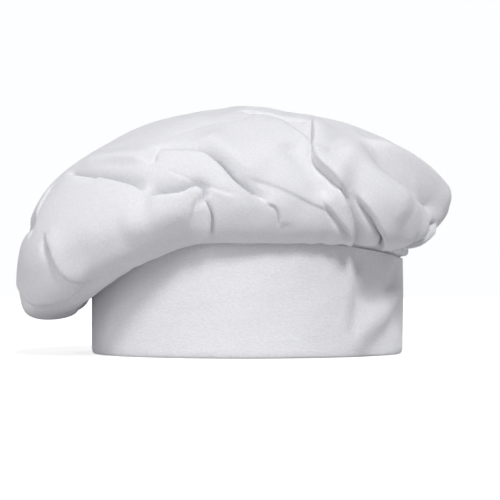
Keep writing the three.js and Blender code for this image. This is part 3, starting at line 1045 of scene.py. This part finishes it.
def build_headband(material):
    section = band_section()
    bearing = np.linspace(BACK + BAND_GAP, BACK + 360 - BAND_GAP, BAND_STATIONS)
    ends = np.minimum(bearing - bearing[0], bearing[-1] - bearing)
    pinch = END_PINCH + (1 - END_PINCH) * smoothstep(0, PINCH_REACH, ends)
    out = section[None, :, 0] * pinch[:, None]
    height = section[None, :, 1] * sag_at(bearing)[:, None]
    spread = np.broadcast_to(bearing[:, None], out.shape)
    points = on_circle(BAND_MIDDLE + out, spread, height) + band_shift(spread, height)
    reach = lengths_along(section)
    flat = np.stack(grid_of(np.radians(bearing) * BAND_RADIUS, reach), axis=-1)
    mesh = grid_mesh("headband_cloth", points, flat)
    band = piece_of(mesh, material, "hat", ["headband"])
    thicken(band, CLOTH)


def build_interfacing(material):
    low, high = (corner[2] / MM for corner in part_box("interfacing"))
    stations = np.linspace(BACK + 2 * BAND_GAP, BACK + 360 - 2 * BAND_GAP, 260)
    bearing, height = grid_of(stations, np.linspace(low, high, 24))
    height = height * sag_at(bearing)
    points = on_circle(BAND_MIDDLE, bearing, height) + band_shift(bearing, height)
    flat = np.stack([np.radians(bearing) * BAND_MIDDLE, height], axis=-1)
    mesh = grid_mesh("interfacing_strip", points, flat)
    strip = piece_of(mesh, material, "hat", ["interfacing"])
    thicken(strip, INTERFACING_THICKNESS)


def build_seam_stitching(material):
    """The seam that joins the crown to the band, seen on the band's inner face."""
    inside = BAND_MIDDLE - BAND_FACE - CLOTH / 2
    away = BAND_GAP + SEAM_START
    bearing = np.linspace(BACK + away, BACK + 360 - away, 500)
    height = (BAND_HEIGHT - SEAM_DROP) * sag_at(bearing)
    points = on_circle(inside, bearing, height) + band_shift(bearing, height)
    stitches("seam_stitches", [(points, -on_circle(1.0, bearing, 0.0))], material, "hat", ["seam_stitching"])


# ---- Closure ----
STRAP_LOW, STRAP_HIGH = (corner[2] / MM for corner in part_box("strap_end"))
TAPE_LOW, TAPE_HIGH = (corner[2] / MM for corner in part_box("loop_tape"))
# Bearings along the strap: its sewn end, its fold, where it comes to lie over both tapes, and its free end.
STRAP_START, STRAP_FOLD, JOG_END, FLAP_END = 77.0, 88.0, 94.0, 134.0
LOOP_SPAN = (96.0, 140.0)
HOOK_SPAN = (101.0, 131.0)
STRAP_HALF = 1.05  # half the strap's thickness: two layers, turned out and pressed
CLEARANCE = 0.3  # from the band to what lies on it, and between the two tapes
STRAP_INNER = BAND_RADIUS + CLEARANCE + 1.2  # middle of its thickness where it is sewn on
STRAP_EDGE = 1.3  # within this of its outline the strap is rounded
STRAP_STEP = 0.8
FLAP_OUT = 3.0  # how much further out the flap lies, over both tapes
STITCH_INSET = 2.5
STITCH_SINK, SINK_REACH = 0.38, 1.1  # how deep the stitches pull the strap in, and how far to either side
SINK_START = 0.6  # but not this close to its outline
TAPE = 1.2
TAPE_EDGE = 0.3
TAPE_STEP = 1.5
GROUND = 0.55  # thickness of a tape's woven ground
BRISTLE_RADIUS = 0.085
LOOP_PITCH, HOOK_PITCH = 1.25, 1.5
BLEND_START, BLEND_END = -1.0, 1.6  # degrees from the strap's fold
# Boxes of stitches: piece, bearings, heights, body and the CAD node that each stands for.
STITCH_BOXES = [
    ("strap_end_stitches", (STRAP_START, STRAP_FOLD), (STRAP_LOW, STRAP_HIGH), "hat", "strap_end_stitching"),
    ("flap_edge_stitches", (JOG_END, FLAP_END), (STRAP_LOW, STRAP_HIGH), "flap", "flap_edge_stitching"),
    ("hook_tape_stitches", HOOK_SPAN, (TAPE_LOW, TAPE_HIGH), "flap", "hook_tape_stitching"),
]


def strap_radius(bearing):
    return STRAP_INNER + FLAP_OUT * smoothstep(STRAP_FOLD, JOG_END, bearing)


def from_box(across, up, box):
    """How far points are from the outline of a box on the strap."""
    low_a, high_a, low_u, high_u = box
    inside = np.minimum.reduce([across - low_a, high_a - across, up - low_u, high_u - up])
    beyond = np.hypot(
        np.maximum.reduce([low_a - across, across - high_a, across * 0]),
        np.maximum.reduce([low_u - up, up - high_u, up * 0]),
    )
    return np.where(inside > 0, inside, beyond)


def rounded_steps(low, high, step, edge):
    """Places from low to high, close together at both ends where a cloth's edge is rounded."""
    near = edge * (1 - np.cos(np.radians(np.linspace(0, 90, 7))))
    inner = np.linspace(low + edge, high - edge, max(2, int((high - low - 2 * edge) / step)))[1:-1]
    return np.concatenate([low + near, inner, high - near[::-1]])


def depth_inside(a, u):
    """How far inside its own outline each point of a strip's grid is."""
    return np.minimum.reduce([a - a[0, 0], a[-1, 0] - a, u - u[0, 0], u[0, -1] - u])


def rounded_half(depth_in, half, edge):
    """Half a strip's thickness, less and less towards its rounded outline."""
    return half * np.sqrt(np.clip(1 - (1 - np.clip(depth_in / edge, 0, 1)) ** 2, 0, 1))


def strip_mesh(name, a, u, arc, middle, half):
    """A strip's outer and inner faces, joined round their outline; arc is what a degree measures on it."""
    faces = [on_circle(radius, a / arc, u).reshape(-1, 3) for radius in (middle + half, middle - half)]
    quads = grid_quads(*a.shape)
    quads = np.concatenate([quads[:, ::-1], quads + a.size])
    flat = np.stack([a, u], axis=-1).reshape(-1, 2)
    mesh = smooth_mesh(name, np.concatenate(faces), quads, np.concatenate([flat, flat]))
    weld(mesh)
    return mesh


def weld(mesh):
    shape = bmesh.new()
    shape.from_mesh(mesh)
    bmesh.ops.remove_doubles(shape, verts=shape.verts, dist=0.01 * MM)
    bmesh.ops.recalc_face_normals(shape, faces=shape.faces)
    shape.to_mesh(mesh)
    shape.free()


def stitch_sink(a, u, arc):
    """How far the boxes of stitches pull the strap in."""
    ripple = 0.75 + 0.25 * np.sin(2 * np.pi * (a + u) / (STITCH_LENGTH + STITCH_GAP))
    sink = np.zeros_like(a)
    for _, (start, end), (low, high), _, _ in STITCH_BOXES:
        across = (start * arc + STITCH_INSET, end * arc - STITCH_INSET)
        away = from_box(a, u, (*across, low + STITCH_INSET, high - STITCH_INSET))
        sink = np.maximum(sink, STITCH_SINK * ripple * np.exp(-((away / SINK_REACH) ** 2)))
    return sink


def build_strap(material):
    """The strap: sewn to one end of the band, and free from its fold on, over the gap and both tapes."""
    arc = np.radians(1) * STRAP_INNER
    across = rounded_steps(STRAP_START * arc, FLAP_END * arc, STRAP_STEP, STRAP_EDGE)
    up = rounded_steps(STRAP_LOW, STRAP_HIGH, STRAP_STEP, STRAP_EDGE)
    a, u = grid_of(across, up)
    depth_in = depth_inside(a, u)
    half = rounded_half(depth_in, STRAP_HALF, STRAP_EDGE)
    half = np.maximum(half - stitch_sink(a, u, arc) * (depth_in > SINK_START), 0)
    mesh = strip_mesh("closure_strap", a, u, arc, strap_radius(a / arc), half)
    strap = piece_of(mesh, material, None, ["strap_end", "closure_flap"])
    bearings = (STRAP_FOLD + BLEND_START, STRAP_FOLD + BLEND_END)
    start, end = (Vector(on_circle(STRAP_INNER, bearing, 30.0) * MM) for bearing in bearings)
    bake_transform(strap)


def build_strap_stitching(material):
    sewn = STRAP_INNER + STRAP_HALF - 1.5 * THREAD_RADIUS
    inset = math.degrees(STITCH_INSET / sewn)
    for name, (start, end), (low, high), body, node in STITCH_BOXES:
        radius = sewn if body == "hat" else sewn + FLAP_OUT
        lines = box_lines(radius, start + inset, end - inset, low + STITCH_INSET, high - STITCH_INSET)
        stitches(name, lines, material, body, [node])


def bristle_line(kind):
    """One loop or hook, from its foot on: how far aside each of its points is, and how high."""
    share = np.linspace(0, 1, 7)
    if kind == "loop":
        return 0.42 * np.cos(np.pi * share), 0.6 * np.sin(np.pi * share)
    side = 0.3 * (1 - np.cos(1.3 * np.pi * share)) - 0.2
    return side, 0.62 * np.minimum(1, 1.15 * np.sin(0.8 * np.pi * share))


def bristle_mesh(name, kind, pitch, across, up, place):
    """Loops or hooks in rows over a tape; place puts them there, by their spot on it and their height."""
    rng = np.random.default_rng(7)
    rows = grid_of(
        np.arange(across[0] + 1.4, across[-1] - 1.2, pitch), np.arange(up[0] + 1.6, up[-1] - 1.4, pitch)
    )
    spots = np.stack([each.ravel() for each in rows], axis=1)
    spots = spots + rng.uniform(-0.5, 0.5, spots.shape) * (pitch if kind == "loop" else 0.15)
    turn = np.full(len(spots), np.pi / 2)
    if kind == "loop":
        turn = rng.uniform(0, 2 * np.pi, len(spots))
    side, rise = bristle_line(kind)
    sides = 4
    angle = np.linspace(0, 2 * np.pi, sides, endpoint=False)
    along_a = spots[:, :1] + side * np.cos(turn)[:, None]
    along_u = spots[:, 1:] + side * np.sin(turn)[:, None]
    height = GROUND / 2 + rise + 0 * along_a
    thread = BRISTLE_RADIUS * np.cos(angle)
    ring_a = along_a[:, :, None] + thread * np.sin(turn)[:, None, None]
    ring_u = along_u[:, :, None] - thread * np.cos(turn)[:, None, None]
    ring_height = height[:, :, None] + BRISTLE_RADIUS * np.sin(angle)
    points = place(ring_a, ring_u, ring_height).reshape(-1, 3)
    quads = repeated(grid_quads(len(side), sides, True), len(side) * sides, len(spots))
    flat = np.stack([ring_a, ring_u], axis=-1).reshape(-1, 2)
    return smooth_mesh(name, points, quads, flat)


def tape(name, inner, span, facing, kind, pitch, material, body):
    """A strip of hook or loop tape: a woven ground with rounded edges, and the bristles on one face."""
    arc = np.radians(1) * inner
    across = rounded_steps(span[0] * arc, span[1] * arc, TAPE_STEP, TAPE_EDGE)
    up = rounded_steps(TAPE_LOW, TAPE_HIGH, TAPE_STEP, TAPE_EDGE)
    a, u = grid_of(across, up)
    half = rounded_half(depth_inside(a, u), GROUND / 2, TAPE_EDGE)
    middle = inner + GROUND / 2 if facing > 0 else inner + TAPE - GROUND / 2
    mesh = strip_mesh(name + "_ground", a, u, arc, middle, half)
    strip = piece_of(mesh, material, body, [name])

    def place(a, u, height):
        return on_circle(middle + facing * height, a / arc, u)

    mesh = bristle_mesh(f"{name}_{kind}s", kind, pitch, across, up, place)
    bristles = piece_of(mesh, material, body, [])


def build_closure(cotton, nylon, thread):
    build_strap(cotton)
    build_strap_stitching(thread)
    loop_inner = BAND_RADIUS + CLEARANCE
    hook_inner = loop_inner + TAPE + CLEARANCE
    tape("loop_tape", loop_inner, LOOP_SPAN, 1, "loop", LOOP_PITCH, nylon, "hat")
    tape("hook_tape", hook_inner, HOOK_SPAN, -1, "hook", HOOK_PITCH, nylon, "flap")


# ---- Care label ----
LABEL_OUT = on_circle(1.0, 118.0, 0.0)  # from the head's axis towards the label
LABEL_ASIDE = np.cross((0, 0, 1), LABEL_OUT)
LABEL_DISTANCE = 90.6
LABEL_HALF_WIDTH = 15.0
LABEL_LOW, LABEL_HIGH = (corner[2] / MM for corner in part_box("care_label"))
LABEL_THICKNESS = 0.3
LABEL_CURL, LABEL_WAVE = 1.6, 0.5  # how far its lower edge stands off the band, and how wavy it is
LABEL_STITCH_DROP = 1.8  # from its top edge down to its stitches


def on_label(aside, height):
    """A place on the label, which hangs from its sewn top edge and curls a little off the band."""
    drop = (LABEL_HIGH - height) / (LABEL_HIGH - LABEL_LOW)
    off = LABEL_CURL * drop**2 + LABEL_WAVE * drop * np.cos(aside / 7 + 0.5)
    level = LABEL_OUT * (LABEL_DISTANCE - off)[..., None] + LABEL_ASIDE * aside[..., None]
    return level + np.array([0, 0, 1]) * height[..., None]


def build_label(satin, thread):
    across = np.linspace(-LABEL_HALF_WIDTH, LABEL_HALF_WIDTH, 32)
    aside, height = grid_of(across, np.linspace(LABEL_LOW, LABEL_HIGH, 36))
    mesh = grid_mesh("care_label_ribbon", on_label(aside, height), np.stack([aside, height], axis=-1))
    label = piece_of(mesh, satin, "label", ["care_label"])
    thicken(label, LABEL_THICKNESS)
    across = np.linspace(-LABEL_HALF_WIDTH + 1, LABEL_HALF_WIDTH - 1, 30)
    line = on_label(across, np.full(30, LABEL_HIGH - LABEL_STITCH_DROP)) - LABEL_OUT * LABEL_THICKNESS / 2
    normals = np.repeat(-LABEL_OUT[None], 30, axis=0)
    stitches("label_stitches", [(line, normals)], thread, "label", ["label_stitching"])


# ---- Bar tack ----
BAR_STITCHES = 26
BAR_STITCH = {"length": 2.6, "gap": 0.1, "radius": 0.22}
BAR_STAGGER = 0.3  # how much higher every other stitch ends
BAR_LIFT = 0.15  # above the binding


def build_bar_tack(material, tree):
    """A bar of close stitches that stops the slit from tearing further up."""
    (low_x, _, low_z), (high_x, _, high_z) = (np.array(corner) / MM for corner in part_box("slit_bar_tack"))
    lines = []
    for i, x in enumerate(np.linspace(low_x, high_x, BAR_STITCHES)):
        heights = np.linspace(low_z, high_z + BAR_STAGGER * (i % 2), 6)
        found = [back_of_crown(tree, x, z) for z in heights]
        places, normals = (np.array(each) for each in zip(*found))
        lines.append((places + normals * (BINDING_THICKNESS / 2 + BAR_LIFT), normals))
    stitches("slit_bar_stitches", lines, material, "hat", ["slit_bar_tack"], **BAR_STITCH)


# ---- Everything, in order ----
cotton = cotton_material()
thread = thread_material()
nylon = nylon_material()
set_camera()
set_room()
crown_tree = build_crown(cotton)
build_headband(cotton)
build_interfacing(interfacing_material())
build_seam_stitching(thread)
build_slit_binding(cotton, crown_tree)
build_bar_tack(thread, crown_tree)
build_closure(cotton, nylon, thread)
build_label(satin_material(), thread)
